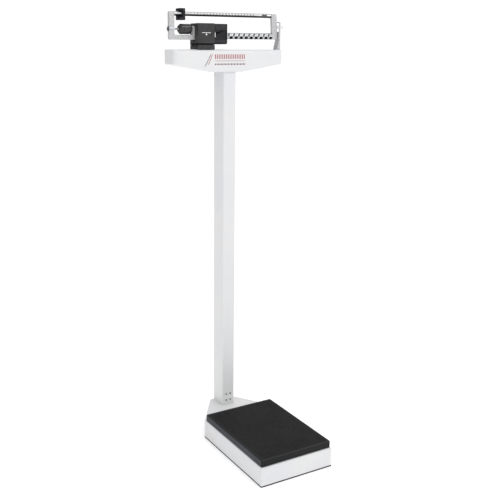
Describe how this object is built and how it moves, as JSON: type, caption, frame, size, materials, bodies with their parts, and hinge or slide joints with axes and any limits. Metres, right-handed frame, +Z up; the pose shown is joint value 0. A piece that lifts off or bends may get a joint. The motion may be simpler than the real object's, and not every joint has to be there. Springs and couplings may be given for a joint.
{
  "type": "physician beam scale",
  "caption": "Upright person-weighing scale: a low platform on a lever base, a tall column, and a shelf that carries a tilting double beam with sliding poises.",
  "frame": {"origin": "on the floor, below the middle of the whole scale's footprint box", "axes": "+Z up, -Y towards the platform's front edge, +Y towards the column, +X to the reader's right, so the beam's zero end is at -X"},
  "size_m": [0.4457, 0.51, 1.479],
  "materials": {
    "white_paint": "smooth satin powder coat",
    "ribbed_mat": "matte black rubber with a fine moulded texture",
    "foot_rubber": "matte black rubber",
    "black_cover": "finely textured satin black plastic",
    "black_weight": "black oxide, slightly glossy",
    "black_poise": "satin black enamel",
    "black_small_poise": "black anodised",
    "cast_silver": "sand cast, tumbled, light grey",
    "beam_metal": "brushed, with a white graduated front",
    "pointer_paint": "white paint with a dark end",
    "steel": "ground and oiled",
    "cast_iron": "grey primer",
    "dark_screw": "black oxide"
  },
  "bodies": {
    "frame": {"back_cover_screw_left": "dark_screw", "back_cover_screw_right": "dark_screw", "base_housing": "white_paint", "beam_fulcrum_stand": "cast_iron", "beam_shelf": "white_paint", "column": "white_paint", "column_bracket": "cast_iron", "column_screw_1": "dark_screw", "column_screw_2": "dark_screw", "column_screw_3": "dark_screw", "column_screw_4": "dark_screw", "column_support": "cast_iron", "column_top_plug": "cast_iron", "foot_column": "foot_rubber", "foot_front_left": "foot_rubber", "foot_front_right": "foot_rubber", "foot_rear_left": "foot_rubber", "foot_rear_right": "foot_rubber", "front_cross_member": "cast_iron", "fulcrum_cover": "black_cover", "fulcrum_cover_base": "black_cover", "lever_stand_front_left": "cast_iron", "lever_stand_front_right": "cast_iron", "lever_stand_rear_left": "cast_iron", "lever_stand_rear_right": "cast_iron", "rear_cross_member": "cast_iron", "shelf_back_cover": "white_paint", "shelf_bolt_left": "steel", "shelf_bolt_right": "steel", "shelf_lever_hanger": "cast_iron", "trig_loop": "cast_silver", "trig_loop_screw": "dark_screw"},
    "platform": {"platform_pan": "white_paint", "platform_mat": "ribbed_mat", "platform_bearing_front_left": "cast_iron", "platform_bearing_front_right": "cast_iron", "platform_bearing_rear_left": "cast_iron", "platform_bearing_rear_right": "cast_iron"},
    "long_lever": {"long_lever": "cast_iron", "long_lever_fulcrum_pivot": "steel", "long_lever_load_pivot": "steel"},
    "short_lever": {"short_lever": "cast_iron", "short_lever_fulcrum_pivot": "steel", "short_lever_load_pivot": "steel"},
    "lever_link": {"lever_link": "steel"},
    "steelyard_rod": {"steelyard_rod": "steel"},
    "shelf_lever": {"shelf_lever": "steel", "shelf_lever_pivot": "steel"},
    "beam_link": {"beam_link": "steel"},
    "beam": {"beam_left_casting": "cast_silver", "beam_right_casting": "cast_silver", "main_beam_bar": "beam_metal", "fractional_beam_bar": "beam_metal", "beam_fulcrum_pivot": "steel", "beam_load_pivot": "steel", "beam_pointer": "pointer_paint"},
    "balance_screw": {"balance_screw": "steel"},
    "balance_weight": {"balance_weight": "black_weight"},
    "small_poise": {"small_poise": "black_small_poise"},
    "main_poise": {"main_poise": "black_poise"}
  },
  "joints": [
    {"name": "beam_tilt", "type": "hinge", "parent": "frame", "child": "beam", "pos_m": [-0.091, 0.213, 1.4], "axis": [0, 1, 0], "range_deg": [-1.6, 1.6]},
    {"name": "beam_link_lift", "type": "slide", "parent": "frame", "child": "beam_link", "axis": [0, 0, 1], "range_m": [-0.0006, 0.0006]},
    {"name": "shelf_lever_tilt", "type": "hinge", "parent": "frame", "child": "shelf_lever", "pos_m": [0.171, 0.213, 1.306], "axis": [0, 1, 0], "range_deg": [-0.1211, 0.1211]},
    {"name": "steelyard_rod_lift", "type": "slide", "parent": "frame", "child": "steelyard_rod", "axis": [0, 0, 1], "range_m": [-0.00036143, 0.00036143]},
    {"name": "long_lever_tilt", "type": "hinge", "parent": "frame", "child": "long_lever", "pos_m": [0, -0.215, 0.039], "axis": [1, 0, 0], "range_deg": [-0.048384, 0.048384]},
    {"name": "platform_travel", "type": "slide", "parent": "frame", "child": "platform", "axis": [0, 0, 1], "range_m": [-0.000021112, 0.000021112]},
    {"name": "lever_link_travel", "type": "slide", "parent": "frame", "child": "lever_link", "axis": [0, 0, 1], "range_m": [-0.00012245, 0.00012245]},
    {"name": "short_lever_tilt", "type": "hinge", "parent": "frame", "child": "short_lever", "pos_m": [0, 0.075, 0.021], "axis": [1, 0, 0], "range_deg": [-0.048384, 0.048384]},
    {"name": "balance_screw_turn", "type": "hinge", "parent": "beam", "child": "balance_screw", "pos_m": [-0.218, 0.213, 1.414], "axis": [1, 0, 0], "range_deg": [-925, 2945]},
    {"name": "balance_weight_travel", "type": "slide", "parent": "beam", "child": "balance_weight", "axis": [1, 0, 0], "range_m": [-0.01036, 0.00324]},
    {"name": "small_poise_slide", "type": "slide", "parent": "beam", "child": "small_poise", "axis": [1, 0, 0], "range_m": [0, 0.3]},
    {"name": "main_poise_slide", "type": "slide", "parent": "beam", "child": "main_poise", "axis": [1, 0, 0], "range_m": [0, 0.16]}
  ],
  "couplings": [
    {"joint": "beam_link_lift", "follows": "beam_tilt", "m_per_rad": 0.021},
    {"joint": "shelf_lever_tilt", "follows": "beam_tilt", "ratio": 0.074205},
    {"joint": "steelyard_rod_lift", "follows": "beam_tilt", "m_per_rad": 0.012689},
    {"joint": "long_lever_tilt", "follows": "beam_tilt", "ratio": 0.029647},
    {"joint": "platform_travel", "follows": "beam_tilt", "m_per_rad": 0.00074118},
    {"joint": "lever_link_travel", "follows": "beam_tilt", "m_per_rad": 0.0042989},
    {"joint": "short_lever_tilt", "follows": "beam_tilt", "ratio": -0.029647},
    {"joint": "balance_screw_turn", "follows": "balance_weight_travel", "rad_per_m": -4947.4}
  ]
}
